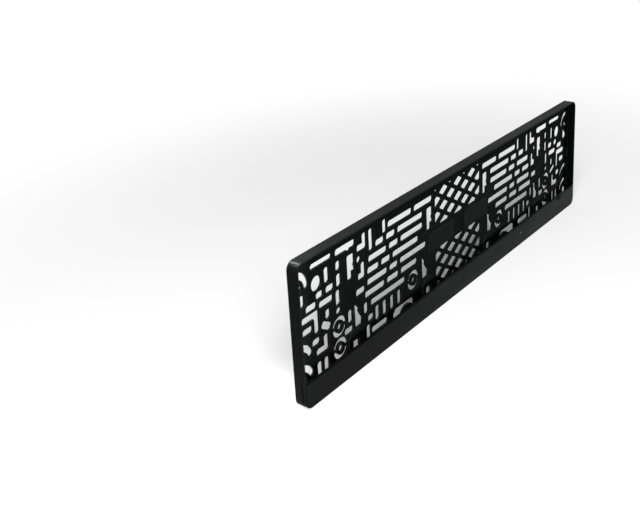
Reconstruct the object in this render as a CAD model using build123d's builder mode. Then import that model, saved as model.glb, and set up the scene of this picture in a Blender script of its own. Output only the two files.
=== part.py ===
import os
from math import atan2, degrees

from build123d import *

os.makedirs("parts", exist_ok=True)

# Number plate holder for a long single-line plate, in mm.
# X runs along the length, Z is up and the open front faces -Y.
# The holder stands on its lower edge at Z = 0, with its middle at X = Y = 0.

# Tray: a shallow open box with a perforated back wall
holder_length = 535.0
holder_height = 135.0
holder_depth = 12.0
corner_radius = 8.0
rim_wall = 1.5
rim_edge_break = 0.5
back_wall = 2.2
rear_recess = 1.0

# Clip-on strip along the lower front edge
strip_height = 24.5
strip_thickness = 2.6
strip_edge_round = 0.8
strip_edge_break = 0.8
strip_gap = 0.3

# Snap arms of the strip, and their windows in the back wall
arm_width = 7.6
arm_thickness = 2.4
arm_side_gap = 1.0
arm_lift = 0.4
window_base = 13.0
window_top = 25.3
barb_reach = 0.9
barb_gap = 0.15
arm_place_end = 184.0
arm_place_inner = 61.6

# Perforation of the back wall, drawn for a wall of the pattern's size inside the rim
pattern_length = 532.0
pattern_height = 132.0
pattern_middle = 67.5
rows_inner = 62.0
rows_outer = 160.0
slot_width = 7.0
slot_ease = 1.6
web = 2.7
narrow_slot_width = 5.4
large_hole_dia = 14.0
small_hole_dia = 6.6
hook_half = 5.7
hook_leg = 1.9
bend_width = 6.0
bend_small_radius = 14.2
bend_large_radius = 18.0
tilted_slot_length = 15.0
arch_length = 36.0
arch_height = 14.4
arch_ease = 4.0
arch_boss_dia = 25.0

# Screw rings: an island with a screw hole, held by two bars in a round opening
ring_opening_dia = 20.4
ring_island_dia = 12.2
ring_bar = 1.7
screw_hole_dia = 6.0

# Diamond lattice in the middle
lattice_length = 92.0
lattice_height = 39.6
lattice_pitch_x = 28.2
lattice_pitch_z = 16.3
lattice_bar = 4.2
lattice_tip_length = 10.4
lattice_tip_height = 1.8
lattice_top_to_crossing = 5.4
lattice_upper_level = 102.7
lattice_lower_level = 39.3

# Shallow features on the front of the wall
dish_dia = 19.0
dish_depth = 1.1
dish_place = 190.9
dish_level = 69.8
middle_dish_level = 71.0
panel_length = 45.5
panel_height = 19.0
panel_place = 35.2
panel_level = 70.4
panel_groove = 1.0
panel_groove_depth = 0.5
pin_hole_dia = 1.6
pin_hole_depth = 0.8
pin_place = 18.5
pin_rise = 5.4
pin_drop = 5.5
boss_dia = 7.4
boss_place = 64.8
boss_level = 81.2
boss_rise = 0.4
boss_hole_dia = 2.8
boss_hole_depth = 1.2
landing_length = 10.0
landing_height = 4.2
landing_depth = 0.5
landing_gap = 1.5
landing_lift = 1.2
pad_rise = 0.6
pad_width = 22.0
pad_crown = 12.0
pad_foot = 16.0
pad_shoulder = 3.0
pad_peak = 9.5

# Planes and heights in front of the rear plane of the holder
rear_plane = Plane.XZ.offset(-holder_depth / 2)
wall_front = rear_recess + back_wall
strip_rear = holder_depth - strip_thickness
barb_front = rear_recess - barb_gap

# In a longer holder the end groups of openings move out with the end walls, the lattice stays
# in the middle, and the brick rows between them grow.
extra_length = (holder_length - 2 * rim_wall - pattern_length) / 2
height_share = (holder_height - 2 * rim_wall) / pattern_height


def along(x):
    """A distance from the middle of the wall, carried outwards in a longer holder."""
    return x + extra_length * min(max((x - rows_inner) / (rows_outer - rows_inner), 0.0), 1.0)


def level(z):
    """A height above the lower edge, carried up or down with the height of the wall."""
    return holder_height / 2 + (z - pattern_middle) * height_share


def both_halves(x, z):
    return Locations((-along(x), level(z)), (along(x), level(z)))


def eased(length, height, ease=slot_ease):
    """A rectangle whose corners are each eased by one flat."""
    cut = min(ease, 0.3 * min(length, height))
    half_length = length / 2
    half_height = height / 2
    corners = []
    for turn in ((1, 1), (-1, 1), (-1, -1), (1, -1)):
        near_side = (turn[0] * half_length, turn[1] * (half_height - cut))
        near_end = (turn[0] * (half_length - cut), turn[1] * half_height)
        corners += [near_side, near_end] if turn[0] == turn[1] else [near_end, near_side]
    Polygon(corners, align=None)


def lying_slot(outer, inner, middle, width=slot_width):
    """A lying slot in both halves, between two distances from the middle of the wall."""
    length = along(outer) - along(inner)
    place = along(inner) + length / 2
    with Locations((-place, level(middle)), (place, level(middle))):
        eased(length, width)


def upright_slot(middle, base, top, width=slot_width):
    """An upright slot in both halves, between two heights."""
    with both_halves(middle, (base + top) / 2):
        eased(width, level(top) - level(base))


def brick_row(middle, outer, inner, *webs):
    """A row of lying slots in both halves, parted by webs at distances from the middle."""
    ends = [outer + web / 2, *webs, inner - web / 2]
    for far, near in zip(ends, ends[1:]):
        lying_slot(far - web / 2, near + web / 2, middle)


def bend_slot(x, z, radius, first, last):
    """A curved slot round a point near each end, from one angle to another."""
    for side in (-1, 1):
        start = first if side < 0 else 180 - last
        with BuildLine(mode=Mode.PRIVATE) as path:
            CenterArc((side * along(x), level(z)), radius, start, last - first)
        SlotArc(path.edges()[0], bend_width)


def round_hole(x, z, diameter):
    with both_halves(x, z):
        Circle(diameter / 2)


upper_hooks = ((186.2, 86.3), (56.0, 84.4))
arm_spots = [side * along(place) for place in (arm_place_end, arm_place_inner) for side in (-1, 1)]

# One lattice block: diamonds left open between slanting bars
with BuildSketch() as lattice_block:
    Rectangle(lattice_length, lattice_height * height_share)
    bar_angle = degrees(atan2(lattice_pitch_z * height_share, lattice_pitch_x))
    crossing = lattice_height * height_share / 2 - lattice_top_to_crossing
    for step in range(-4, 4):
        foot = lattice_pitch_x * (step + 0.5)
        with Locations(*[Location((foot, crossing), slant * bar_angle) for slant in (-1, 1)]):
            Rectangle(2 * lattice_length, lattice_bar, mode=Mode.SUBTRACT)
    for row in range(-4, 2):
        row_level = crossing + row * lattice_pitch_z * height_share / 2
        with Locations(((row % 2) * lattice_pitch_x / 2, row_level)):
            with GridLocations(lattice_pitch_x, 1, 6, 1):
                Rectangle(lattice_tip_length, lattice_tip_height, mode=Mode.SUBTRACT)

# Tray
with BuildPart() as tray:
    # Outer block, hollowed from the front and recessed at the rear
    with BuildSketch(rear_plane):
        with Locations((0, holder_height / 2)):
            RectangleRounded(holder_length, holder_height, corner_radius)
    extrude(amount=holder_depth)
    for base, depth in ((0, rear_recess), (wall_front, holder_depth - wall_front)):
        with BuildSketch(rear_plane.offset(base)):
            with Locations((0, holder_height / 2)):
                RectangleRounded(
                    holder_length - 2 * rim_wall, holder_height - 2 * rim_wall, corner_radius - rim_wall
                )
        extrude(amount=depth, mode=Mode.SUBTRACT)

    # Step in the lower front of the rim, where the strip sits
    with BuildSketch(rear_plane.offset(strip_rear)):
        with Locations((0, (strip_height + strip_gap) / 2)):
            Rectangle(holder_length, strip_height + strip_gap)
    extrude(amount=strip_thickness, mode=Mode.SUBTRACT)
    chamfer(tray.edges().group_by(Axis.Y)[0], rim_edge_break)

    # Raised pads round the windows of the snap arms
    with BuildSketch(rear_plane.offset(wall_front)):
        with Locations(*[(spot, window_top) for spot in arm_spots]):
            Polygon(
                [(-pad_width / 2, -pad_foot), (pad_width / 2, -pad_foot), (pad_width / 2, pad_shoulder)]
                + [(pad_crown / 2, pad_peak), (-pad_crown / 2, pad_peak), (-pad_width / 2, pad_shoulder)],
                align=None,
            )
    extrude(amount=pad_rise)

    # Bare panels in the plain band, each framed by a groove, with two pin holes of one hand
    with BuildSketch(rear_plane.offset(wall_front)):
        with both_halves(panel_place, panel_level):
            Rectangle(panel_length + panel_groove, panel_height + panel_groove)
            Rectangle(panel_length - panel_groove, panel_height - panel_groove, mode=Mode.SUBTRACT)
    extrude(amount=-panel_groove_depth, mode=Mode.SUBTRACT)
    with BuildSketch(rear_plane.offset(wall_front)):
        with both_halves(panel_place, panel_level):
            with Locations((-pin_place, pin_rise), (pin_place, -pin_drop)):
                Circle(pin_hole_dia / 2)
    extrude(amount=-pin_hole_depth, mode=Mode.SUBTRACT)

    # Round bosses with a blind hole, and shallow landings beside the upper hook slots
    with BuildSketch(rear_plane.offset(wall_front)):
        round_hole(boss_place, boss_level, boss_dia)
    extrude(amount=boss_rise)
    with BuildSketch(rear_plane.offset(wall_front + boss_rise)):
        round_hole(boss_place, boss_level, boss_hole_dia)
    extrude(amount=-boss_hole_depth, mode=Mode.SUBTRACT)
    with BuildSketch(rear_plane.offset(wall_front)):
        for place, base in upper_hooks:
            with both_halves(place, base):
                with Locations((hook_leg + landing_gap, landing_lift)):
                    Rectangle(landing_length, landing_height, align=(Align.MIN, Align.MIN))
    extrude(amount=-landing_depth, mode=Mode.SUBTRACT)

    # Three shallow dishes
    dish_sphere = (dish_dia * dish_dia / 4 + dish_depth * dish_depth) / (2 * dish_depth)
    dish_y = holder_depth / 2 - wall_front - dish_sphere + dish_depth
    dish_spots = [(side * along(dish_place), dish_y, level(dish_level)) for side in (-1, 1)]
    with Locations(*dish_spots, (0, dish_y, level(middle_dish_level))):
        Sphere(dish_sphere, mode=Mode.SUBTRACT)

    # Brick rows between the end groups and the lattice, and four upright slots under them
    with BuildSketch(rear_plane):
        brick_row(116, 127.9, 49.7, 85.0)
        brick_row(105, 148.2, 67.3, 132.3, 113.8)
        brick_row(94, 159.9, 67.6, 128.4, 109.0)
        brick_row(83, 162.2, 76.0, 141.5, 123.0)
        brick_row(72, 162.9, 62.4, 128.5, 111.0)
        brick_row(61, 167.1, 79.3, 133.5, 110.2)
        brick_row(50, 158.9, 101.1)
        for step in range(4):
            upright_slot(112.7 + 12.1 * step, 28.7, 43.7)

    # Upper part of the end groups
    with BuildSketch(rear_plane):
        lying_slot(241.6, 212.0, 120.1, narrow_slot_width)
        lying_slot(207.5, 178.3, 119.3)
        upright_slot(188.0, 114.2, 119.0, narrow_slot_width)
        lying_slot(176.5, 161.9, 110.7)
        upright_slot(165.0, 107.2, 122.9)
        upright_slot(154.9, 101.4, 122.9)
        upright_slot(133.0, 110.2, 123.9)
        upright_slot(220.5, 97.8, 112.4)
        upright_slot(204.3, 102.4, 111.4)
        upright_slot(204.3, 87.0, 99.4)
        upright_slot(254.7, 88.8, 100.2)
        lying_slot(261.0, 251.2, 92.3)
        lying_slot(236.1, 226.2, 90.9)
        lying_slot(222.8, 211.0, 91.0)
        upright_slot(168.4, 79.6, 95.7)
        lying_slot(176.5, 164.9, 83.1)
        bend_slot(262.0, 106.0, bend_small_radius, 6, 76)
        round_hole(234.8, 103.1, large_hole_dia)
        round_hole(174.2, 100.3, small_hole_dia)
        round_hole(257.0, 106.8, small_hole_dia)

    # Middle part of the end groups
    with BuildSketch(rear_plane):
        lying_slot(250.3, 235.5, 84.0)
        lying_slot(232.8, 212.9, 80.9)
        upright_slot(206.3, 69.9, 84.4)
        upright_slot(206.3, 61.5, 67.6)
        lying_slot(256.7, 233.6, 75.4)
        upright_slot(237.1, 57.0, 78.9)
        lying_slot(256.2, 242.7, 64.7)
        upright_slot(261.6, 62.5, 75.3, narrow_slot_width)
        upright_slot(221.5, 63.8, 73.1)
        lying_slot(180.4, 166.0, 68.7)
        for side in (-1, 1):
            with Locations(Location((side * along(224.2), level(58.2)), 30 * side)):
                eased(tilted_slot_length, slot_width)

    # Lower part of the end groups
    with BuildSketch(rear_plane):
        lying_slot(244.4, 233.5, 49.7)
        lying_slot(239.6, 222.2, 38.6)
        upright_slot(225.7, 35.1, 51.1)
        upright_slot(236.2, 15.1, 29.4)
        upright_slot(226.6, 15.1, 29.4)
        upright_slot(190.2, 44.7, 57.8)
        lying_slot(199.7, 186.4, 38.4)
        upright_slot(166.3, 42.8, 54.4)
        lying_slot(164.3, 154.7, 36.3)
        upright_slot(163.8, 15.1, 30.5)
        lying_slot(158.9, 132.9, 21.7)
        upright_slot(258.6, 15.5, 24.1, 9.0)
        bend_slot(263.9, 35.6, bend_large_radius, 26, 76)
        bend_slot(263.9, 16.4, bend_large_radius, 26, 76)

    # Arched openings beside the lattice, each with a round boss standing in it
    with BuildSketch(rear_plane):
        with both_halves(106.0, 19.2):
            eased(arch_length, arch_height, arch_ease)
        with both_halves(99.6, 10.0):
            Circle(arch_boss_dia / 2, mode=Mode.SUBTRACT)

    # Hook slots, of one hand in both halves
    with BuildSketch(rear_plane):
        for place, base in upper_hooks:
            with both_halves(place, base):
                Polygon(
                    [(-hook_half, 1.2), (1.2 - hook_half, 0), (hook_leg - 1.2, 0), (hook_leg, 1.2)]
                    + [(hook_leg, 6.9), (hook_half, 6.9), (hook_half, 9.4), (hook_half - 1.3, 12.0)]
                    + [(hook_half, 14.4), (hook_half, 22.5), (hook_half - 1.5, 24.0)]
                    + [(1.5 - hook_half, 24.0), (-hook_half, 22.5)],
                    align=None,
                )
        for place, base in ((178.1, 36.1), (66.3, 36.4)):
            with both_halves(place, base):
                Polygon(
                    [(-hook_half, 0), (4.6, 0), (hook_half, 5.8), (1.9, 11.2), (0.2, 15.3)]
                    + [(1.2, 16.8), (-3.4, 22.8), (-hook_half, 22.8)],
                    align=None,
                )

    # Screw rings at the ends and beside the lattice
    with BuildSketch(rear_plane):
        for x, z in ((206.3, 48.6), (206.3, 27.4), (87.7, 43.0)):
            with both_halves(x, z):
                Circle(ring_opening_dia / 2)
                Circle(ring_island_dia / 2, mode=Mode.SUBTRACT)
                Rectangle(ring_opening_dia + 2, ring_bar, mode=Mode.SUBTRACT)
                Circle(screw_hole_dia / 2)

    # Windows for the snap arms, and the lattice above and below the plain band
    with BuildSketch(rear_plane):
        with Locations(*[(spot, (window_base + window_top) / 2) for spot in arm_spots]):
            Rectangle(arm_width + 2 * arm_side_gap, window_top - window_base)
        with Locations(
            Location((0, level(lattice_upper_level))), Location((0, level(lattice_lower_level)), 180)
        ):
            add(lattice_block.sketch)

    extrude(amount=strip_rear, mode=Mode.SUBTRACT)

# Strip: a flat bar with four barbed snap arms on its rear face
with BuildPart() as clip_strip:
    with BuildSketch(rear_plane.offset(strip_rear)) as bar:
        with Locations((0, strip_height / 2)):
            Rectangle(holder_length, strip_height)
        fillet(bar.vertices().group_by(Axis.Y)[0], corner_radius)
    extrude(amount=strip_thickness)
    fillet(clip_strip.edges().group_by(Axis.Y)[0], strip_edge_round)
    rear_edges = clip_strip.edges().group_by(Axis.Y)[-1]
    chamfer(rear_edges.sort_by(Axis.Z)[:-1], strip_edge_break)

    arm_base = window_base + arm_lift
    with BuildSketch(rear_plane.offset(strip_rear)):
        with Locations(*[(spot, arm_base + arm_thickness / 2) for spot in arm_spots]):
            Rectangle(arm_width, arm_thickness)
    extrude(amount=barb_gap - strip_rear)

    barb_height = arm_thickness + arm_lift + barb_reach
    with BuildSketch(rear_plane.offset(barb_front)):
        with Locations(*[(spot, window_base - barb_reach + barb_height / 2) for spot in arm_spots]):
            Rectangle(arm_width, barb_height)
    extrude(amount=barb_gap - barb_front)

tray.part.label = "tray"
export_step(tray.part, "parts/tray.step")

clip_strip.part.label = "clip_strip"
export_step(clip_strip.part, "parts/clip_strip.step")
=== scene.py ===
from math import radians

import bpy
from mathutils import Matrix, Vector


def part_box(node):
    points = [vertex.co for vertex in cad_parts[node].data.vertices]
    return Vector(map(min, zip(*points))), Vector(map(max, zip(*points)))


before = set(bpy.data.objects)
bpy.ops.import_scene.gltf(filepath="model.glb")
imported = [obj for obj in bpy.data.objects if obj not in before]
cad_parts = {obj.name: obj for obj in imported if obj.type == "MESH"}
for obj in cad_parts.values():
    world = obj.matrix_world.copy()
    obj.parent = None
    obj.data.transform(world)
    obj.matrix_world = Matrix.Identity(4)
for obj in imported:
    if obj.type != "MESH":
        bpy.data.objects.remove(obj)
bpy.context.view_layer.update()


# Tray
# The body of the holder: a shallow box with a thin rim and a back wall full of openings.
# It is moulded in one shot from black polypropylene, and comes out of the mould with a satin face,
# a fine spark-eroded grain and edges that are a little rounded.
def node_group(name, inputs, outputs):
    """A shader node group with named sockets, and its input and output nodes."""
    group = bpy.data.node_groups.new(name, "ShaderNodeTree")
    for socket_name, value in inputs.items():
        socket = group.interface.new_socket(socket_name, in_out="INPUT", socket_type="NodeSocketFloat")
        socket.default_value = value
    for socket_name, kind in outputs.items():
        group.interface.new_socket(socket_name, in_out="OUTPUT", socket_type="NodeSocket" + kind)
    return group, group.nodes.new("NodeGroupInput"), group.nodes.new("NodeGroupOutput")


def add_node(tree, kind, links=None, **settings):
    """A node of the tree with its settings made and its inputs linked or given values."""
    node = tree.nodes.new("ShaderNode" + kind)
    for name, value in settings.items():
        setattr(node, name, value)
    for socket, source in (links or {}).items():
        if isinstance(source, bpy.types.NodeSocket):
            tree.links.new(source, node.inputs[socket])
        else:
            node.inputs[socket].default_value = source
    return node


def work_out(tree, operation, *numbers):
    """The result of one operation on numbers."""
    return add_node(tree, "Math", dict(enumerate(numbers)), operation=operation).outputs[0]


def soft_step(tree, value, start, end):
    """A number that goes softly from 0 to 1 as the value goes from start to end."""
    step = add_node(
        tree,
        "MapRange",
        {"Value": value, "From Min": start, "From Max": end},
        interpolation_type="SMOOTHSTEP",
    )
    return step.outputs[0]


def mix_numbers(tree, share, first, second):
    """A number that lies between two others, by the share of the second."""
    first_socket, second_socket, result = 2, 3, 0
    mix = add_node(tree, "Mix", {"Factor": share, first_socket: first, second_socket: second})
    return mix.outputs[result]


def mix_colours(tree, share, first, second, blend_type="MIX"):
    """The first colour with the second laid over it, by its share."""
    first_socket, second_socket, result = 6, 7, 2
    mix = add_node(
        tree,
        "Mix",
        {"Factor": share, first_socket: first, second_socket: second},
        data_type="RGBA",
        blend_type=blend_type,
    )
    return mix.outputs[result]


def place_group(tree, group, values):
    """The group as a node of the material, with its own values."""
    return add_node(tree, "Group", values, node_tree=group)


# Grain of the mould's face: fine pits with a coarser unevenness under them
mould_grain, grain_in, grain_out = node_group(
    "mould_grain", {"Grains per metre": 2600.0}, {"Height": "Float"}
)
grain_place = add_node(mould_grain, "TexCoord").outputs["Object"]
grain_pits = add_node(
    mould_grain,
    "TexNoise",
    {
        "Vector": grain_place,
        "Scale": grain_in.outputs["Grains per metre"],
        "Detail": 3.0,
        "Roughness": 0.62,
    },
)
grain_waves = add_node(mould_grain, "TexNoise", {"Vector": grain_place, "Scale": 420.0, "Detail": 2.0})
grain_height = mix_numbers(
    mould_grain, share=0.3, first=grain_pits.outputs[0], second=grain_waves.outputs[0]
)
mould_grain.links.new(grain_height, grain_out.inputs["Height"])

# Haze of handling and of the melt's flow: soft clouds drawn out along the length
flow_haze, haze_in, haze_out = node_group("flow_haze", {"Clouds per metre": 14.0}, {"Haze": "Float"})
haze_place = add_node(
    flow_haze,
    "Mapping",
    {"Vector": add_node(flow_haze, "TexCoord").outputs["Object"], "Scale": (0.35, 1.0, 1.0)},
)
haze_clouds = add_node(
    flow_haze,
    "TexNoise",
    {
        "Vector": haze_place.outputs[0],
        "Scale": haze_in.outputs["Clouds per metre"],
        "Detail": 5.0,
        "Roughness": 0.58,
    },
)
haze_depth = soft_step(flow_haze, haze_clouds.outputs[0], start=0.32, end=0.68)
flow_haze.links.new(haze_depth, haze_out.inputs["Haze"])

# Rounded edges: the normal turned over the edge, and a mask of where that happens
soft_edges, edge_in, edge_out = node_group(
    "soft_edges", {"Radius": 0.0006}, {"Normal": "Vector", "Edge": "Float"}
)
edge_turn = add_node(soft_edges, "Bevel", {"Radius": edge_in.outputs["Radius"]}, samples=6)
edge_flat = add_node(soft_edges, "NewGeometry")
edge_dot = add_node(
    soft_edges,
    "VectorMath",
    {0: edge_turn.outputs["Normal"], 1: edge_flat.outputs["True Normal"]},
    operation="DOT_PRODUCT",
)
edge_mask = add_node(
    soft_edges,
    "MapRange",
    {"Value": edge_dot.outputs["Value"], "From Min": 0.995, "From Max": 0.85},
)
soft_edges.links.new(edge_turn.outputs["Normal"], edge_out.inputs["Normal"])
soft_edges.links.new(edge_mask.outputs[0], edge_out.inputs["Edge"])

# A field of the holder, the same in both halves: a block with soft sides, in metres.
# Where no depth is given, it goes right through the holder.
field, field_in, field_out = node_group(
    "field",
    {
        "Middle X": 0.0,
        "Middle Y": 0.0,
        "Middle Z": 0.0675,
        "Half length": 0.1,
        "Half depth": 0.1,
        "Half height": 0.05,
        "Softness": 0.0002,
    },
    {"Mask": "Float"},
)
field_place = add_node(field, "SeparateXYZ", {"Vector": add_node(field, "TexCoord").outputs["Object"]})
field_softness = field_in.outputs["Softness"]
field_mask = 1.0
for field_axis, middle, half in (
    (work_out(field, "ABSOLUTE", field_place.outputs["X"]), "Middle X", "Half length"),
    (field_place.outputs["Y"], "Middle Y", "Half depth"),
    (field_place.outputs["Z"], "Middle Z", "Half height"),
):
    field_offset = work_out(field, "SUBTRACT", field_axis, field_in.outputs[middle])
    field_reach = work_out(field, "ABSOLUTE", field_offset)
    outer_side = work_out(field, "ADD", field_in.outputs[half], field_softness)
    inner_side = work_out(field, "SUBTRACT", field_in.outputs[half], field_softness)
    within = soft_step(field, field_reach, start=outer_side, end=inner_side)
    field_mask = work_out(field, "MULTIPLY", field_mask, within)
field.links.new(field_mask, field_out.inputs["Mask"])

# A round or oval spot of the front, with a more or less ragged outline
spot, spot_in, spot_out = node_group(
    "spot",
    {"X": 0.0, "Z": 0.0, "Half length": 0.005, "Half height": 0.002, "Raggedness": 0.9},
    {"Mask": "Float"},
)
spot_coordinates = add_node(spot, "TexCoord").outputs["Object"]
spot_place = add_node(spot, "SeparateXYZ", {"Vector": spot_coordinates})
spot_squares = []
for axis, half in (("X", "Half length"), ("Z", "Half height")):
    spot_offset = work_out(spot, "SUBTRACT", spot_place.outputs[axis], spot_in.outputs[axis])
    spot_share = work_out(spot, "DIVIDE", spot_offset, spot_in.outputs[half])
    spot_squares.append(work_out(spot, "POWER", spot_share, 2.0))
spot_reach = work_out(spot, "ADD", *spot_squares)
spot_noise = add_node(spot, "TexNoise", {"Vector": spot_coordinates, "Scale": 900.0, "Detail": 2.0})
noise_middle = 0.5
spot_uneven = work_out(spot, "SUBTRACT", spot_noise.outputs[0], noise_middle)
spot_ragged = work_out(spot, "MULTIPLY_ADD", spot_uneven, spot_in.outputs["Raggedness"], spot_reach)
spot_mask = soft_step(spot, spot_ragged, start=1.15, end=0.75)
spot.links.new(spot_mask, spot_out.inputs["Mask"])


def zone(group, values, tint, rough):
    """A zone of a surface: its mask group with values, a tint for the tone, and the roughness there."""
    return {"group": group, "values": values, "tint": (*tint, 1.0), "rough": rough}


def moulded_plastic(name, deep, pale, wear_and_highlight, smooth, rough, shine, zones):
    """Black moulded plastic, whose tone and roughness follow the haze and differ in zones.

    The tone goes from deep to pale where the haze is thick, with edges paler from wear and a painted
    highlight, while the roughness goes from rough to smooth. The shine is the level of the mirrored
    light.
    """
    material = bpy.data.materials.new(name)
    material.use_nodes = True
    tree = material.node_tree
    shader = tree.nodes["Principled BSDF"]
    shader.inputs["Specular IOR Level"].default_value = shine
    shader.inputs["Specular Tint"].default_value = (0.93, 1.0, 0.96, 1.0)
    grain = place_group(tree, mould_grain, {"Grains per metre": 2600.0})
    haze = place_group(tree, flow_haze, {"Clouds per metre": 14.0}).outputs["Haze"]
    edges = place_group(tree, soft_edges, {"Radius": 0.0006})
    tone = mix_colours(tree, haze, (*deep, 1.0), (*pale, 1.0))
    finish = mix_numbers(tree, haze, rough, smooth)
    for part in zones:
        mask = place_group(tree, part["group"], part["values"]).outputs["Mask"]
        tone = mix_colours(tree, mask, tone, part["tint"], blend_type="MULTIPLY")
        finish = mix_numbers(tree, mask, finish, part["rough"])
    # Paler edges: partly wear, partly a painted highlight where the rounded edges catch the light.
    edge_tone = mix_colours(tree, edges.outputs["Edge"], tone, (*wear_and_highlight, 1.0))
    relief = add_node(
        tree,
        "Bump",
        {
            "Strength": 0.35,
            "Distance": 0.00006,
            "Height": grain.outputs["Height"],
            "Normal": edges.outputs["Normal"],
        },
    )
    tree.links.new(edge_tone, shader.inputs["Base Color"])
    tree.links.new(finish, shader.inputs["Roughness"])
    tree.links.new(relief.outputs[0], shader.inputs["Normal"])
    return material


def dress(node, material):
    """Gives a node of the holder this material alone."""
    node.data.materials.clear()
    node.data.materials.append(material)


# The wall inside the rim has a coarse, dull grain. Its foot behind the strip and both inner ends of the
# tray
# have a finer grain and painted shade: a darker tone where the strip and the end walls keep the light
# off.
# The bare panels are a little paler and the dishes darker, both with a finer grain, the upper bends are
# as satin as the rim, and the seams beside the strip are dull, with painted shade darkening the gap
# between strip and tray.
tray_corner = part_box("tray")[1]
tray_end = tray_corner.x
tray_height = tray_corner.z
rim_inset = 0.0014
bend_inset = 0.0043
bend_half = 0.0046
dish_half = 0.0098
wall_zone = {
    "Middle X": 0.0,
    "Middle Z": tray_height / 2,
    "Half length": tray_end - rim_inset,
    "Half height": tray_height / 2 - rim_inset,
}
# Painted shade: the foot behind the strip and the inner ends of the tray are made darker.
foot_shade_zone = {**wall_zone, "Middle Z": 0.0150, "Half height": 0.0185, "Softness": 0.0050}
end_shade_zone = {**wall_zone, "Middle X": 0.2600, "Half length": 0.0130, "Softness": 0.0050}
bend_zone = {
    "Middle X": tray_end - bend_inset,
    "Middle Z": tray_height - bend_inset,
    "Half length": bend_half,
    "Half height": bend_half,
}
# Painted shade: the seam between the strip and the tray's ends is made dark and dull.
seam_shade_zone = {
    "Middle X": tray_end,
    "Middle Y": -0.0026,
    "Middle Z": 0.0125,
    "Half length": 0.0014,
    "Half depth": 0.0009,
    "Half height": 0.0122,
}
panel_zone = {"Middle X": 0.0352, "Middle Z": 0.0704, "Half length": 0.0222, "Half height": 0.0090}
dish_size = {"Half length": dish_half, "Half height": dish_half, "Raggedness": 0.0}
dish_zones = [
    zone(spot, {"X": x, "Z": z, **dish_size}, tint=(0.5, 0.5, 0.5), rough=0.72)
    for x, z in ((-0.1909, 0.0698), (0.0, 0.0710), (0.1909, 0.0698))
]
tray_plastic = moulded_plastic(
    "tray_plastic",
    deep=(0.0020, 0.0026, 0.0023),
    pale=(0.0031, 0.0038, 0.0035),
    wear_and_highlight=(0.0180, 0.0192, 0.0186),
    smooth=0.40,
    rough=0.50,
    shine=0.036,
    zones=[
        zone(field, wall_zone, tint=(0.75, 0.75, 0.75), rough=0.84),
        # painted shade at the foot behind the strip and at the inner ends
        zone(field, foot_shade_zone, tint=(0.6, 0.6, 0.6), rough=0.25),
        zone(field, end_shade_zone, tint=(0.6, 0.6, 0.6), rough=0.30),
        zone(field, bend_zone, tint=(1.0, 1.0, 1.0), rough=0.45),
        # painted shade in the seam beside the strip
        zone(field, seam_shade_zone, tint=(0.3, 0.3, 0.3), rough=1.0),
        zone(field, panel_zone, tint=(1.25, 1.25, 1.25), rough=0.60),
        *dish_zones,
    ],
)
dress(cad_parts["tray"], tray_plastic)


# Clip strip
# The long flat bar along the lower front edge, moulded from the same black plastic.
# It snaps into the tray with four arms. Its face is painted darker towards the left end, as painted
# shade, and carries a small pale fleck, and a dark smudge under the top edge near the right end.
strip_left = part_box("clip_strip")[0].x
# Painted shade: the face of the strip is darker towards its left end.
left_end_shade = {
    "X": strip_left,
    "Z": 0.0122,
    "Half length": 0.16,
    "Half height": 0.16,
    "Raggedness": 0.0,
}
smudge = {"X": 0.2243, "Z": 0.0220, "Half length": 0.0080, "Half height": 0.0017}
fleck = {"X": 0.1235, "Z": 0.0141, "Half length": 0.0017, "Half height": 0.0009}
strip_plastic = moulded_plastic(
    "strip_plastic",
    deep=(0.0014, 0.0023, 0.0018),
    pale=(0.0060, 0.0074, 0.0066),
    wear_and_highlight=(0.0120, 0.0128, 0.0124),
    smooth=0.36,
    rough=0.46,
    shine=0.037,
    zones=[
        # painted shade towards the left end
        zone(spot, left_end_shade, tint=(0.35, 0.35, 0.35), rough=0.40),
        zone(spot, smudge, tint=(0.4, 0.4, 0.4), rough=0.95),
        zone(spot, fleck, tint=(36.0, 26.0, 30.0), rough=0.6),
    ],
)
dress(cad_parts["clip_strip"], strip_plastic)


# Floor
# A plain white sheet that the holder stands on, wide enough to fill the view.
# Round the holder it keeps the soft shadow, and further off it shows as pure white paper.
floor_half = 6.0
floor_mesh = bpy.data.meshes.new("floor")
floor_mesh.from_pydata(
    [(side * floor_half, end * floor_half, 0.0) for side, end in ((-1, -1), (1, -1), (1, 1), (-1, 1))],
    [],
    [(0, 1, 2, 3)],
)
floor = bpy.data.objects.new("floor", floor_mesh)
bpy.context.scene.collection.objects.link(floor)


def seen_directly(tree):
    """A factor of 1 for camera, glossy and transmission rays, and of 0 for the others."""
    path = add_node(tree, "LightPath")
    mirrored = work_out(tree, "MAXIMUM", path.outputs["Is Camera Ray"], path.outputs["Is Glossy Ray"])
    return work_out(tree, "MAXIMUM", mirrored, path.outputs["Is Transmission Ray"])


def mix_shaders(tree, share, first, second):
    """A shader between two others, by the share of the second."""
    return add_node(tree, "MixShader", {0: share, 1: first.outputs[0], 2: second.outputs[0]}).outputs[0]


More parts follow.
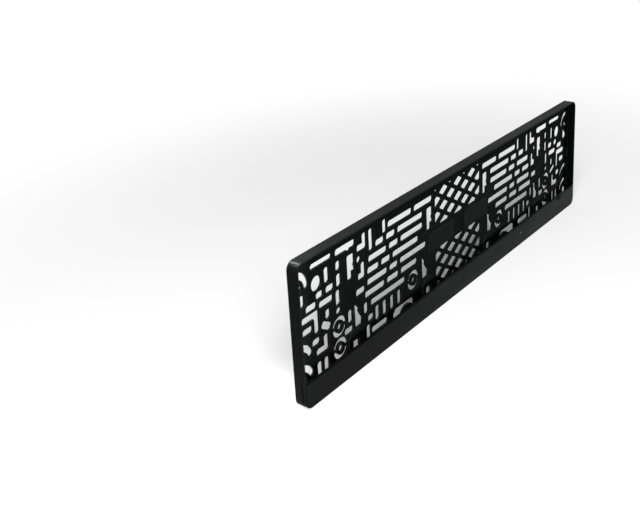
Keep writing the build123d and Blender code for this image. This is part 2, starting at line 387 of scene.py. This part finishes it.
white = (1.0, 1.0, 1.0, 1.0)
paper = bpy.data.materials.new("paper")
paper.use_nodes = True
paper.cycles.emission_sampling = "NONE"
paper_tree = paper.node_tree
paper_tree.nodes.clear()
paper_sheet = add_node(paper_tree, "BsdfDiffuse", {"Color": (0.9, 0.9, 0.9, 1.0)})
paper_white = add_node(paper_tree, "Emission", {"Color": white, "Strength": 1.0})
paper_place = add_node(
    paper_tree,
    "Mapping",
    {
        "Vector": add_node(paper_tree, "TexCoord").outputs["Object"],
        "Location": (-0.05, -0.15, 0.0),
        "Scale": (0.8, 1.0, 1.0),
    },
)
paper_reach = add_node(paper_tree, "VectorMath", {0: paper_place.outputs[0]}, operation="LENGTH")
paper_away = soft_step(paper_tree, paper_reach.outputs["Value"], start=0.1, end=0.65)
paper_share = work_out(paper_tree, "MULTIPLY", paper_away, seen_directly(paper_tree))
paper_look = mix_shaders(paper_tree, paper_share, paper_sheet, paper_white)
add_node(paper_tree, "OutputMaterial", {"Surface": paper_look})
floor_mesh.materials.append(paper)


# Light
# A large soft box at the front left, an even glow from all round, and one small lamp above the rear,
# held in by a grid, which draws the bright line over the upper left bend of the rim.
world = bpy.data.worlds.new("studio")
bpy.context.scene.world = world
world.use_nodes = True
world_tree = world.node_tree
world_tree.nodes.clear()
soft_room = add_node(world_tree, "Background", {"Color": white, "Strength": 0.15})
white_room = add_node(world_tree, "Background", {"Color": white, "Strength": 1.0})
room_look = mix_shaders(world_tree, seen_directly(world_tree), soft_room, white_room)
add_node(world_tree, "OutputWorld", {"Surface": room_look})


def soft_lamp(name, size, power, spread, place, target):
    """A square soft box that faces its target, its beam held in by a grid to the given spread."""
    data = bpy.data.lights.new(name, "AREA")
    data.shape = "SQUARE"
    data.size = size
    data.energy = power
    data.spread = radians(spread)
    lamp = bpy.data.objects.new(name, data)
    lamp.location = place
    lamp.rotation_euler = (Vector(target) - Vector(place)).to_track_quat("-Z", "Y").to_euler()
    bpy.context.scene.collection.objects.link(lamp)


soft_lamp(
    "front_box",
    size=1.6,
    power=130.0,
    spread=180.0,
    place=(-1.7, -1.3, 1.9),
    target=(0.05, 0.1, 0.0),
)
soft_lamp(
    "rear_lamp",
    size=0.1,
    power=0.3,
    spread=10.0,
    place=(-0.2, 0.72, 1.04),
    target=(-0.267, 0.0, 0.135),
)


# Camera
# A normal lens at the left end, a little above the holder, as in the photograph.
# Its lens is shifted, to give both the framing and the converging edges of the photograph.
camera_place = Vector((-0.7665, -0.4466, 0.4573))
camera_look = Vector((0.7368, 0.6038, -0.3042)).normalized()
camera_right = camera_look.cross(Vector((0.2724, 0.1467, 0.9509))).normalized()
camera_up = camera_right.cross(camera_look)
camera_axes = Matrix((camera_right, camera_up, -camera_look)).transposed()
camera_data = bpy.data.cameras.new("camera")
camera_data.sensor_fit = "HORIZONTAL"
camera_data.sensor_width = 36.0
camera_data.lens = 51.8
camera_data.shift_y = -0.20
camera_data.clip_start = 0.01
camera = bpy.data.objects.new("camera", camera_data)
camera.matrix_world = Matrix.Translation(camera_place) @ camera_axes.to_4x4()
bpy.context.scene.collection.objects.link(camera)
bpy.context.scene.camera = camera


# Picture
# Colours are shown as they are.
bpy.context.scene.view_settings.view_transform = "Standard"
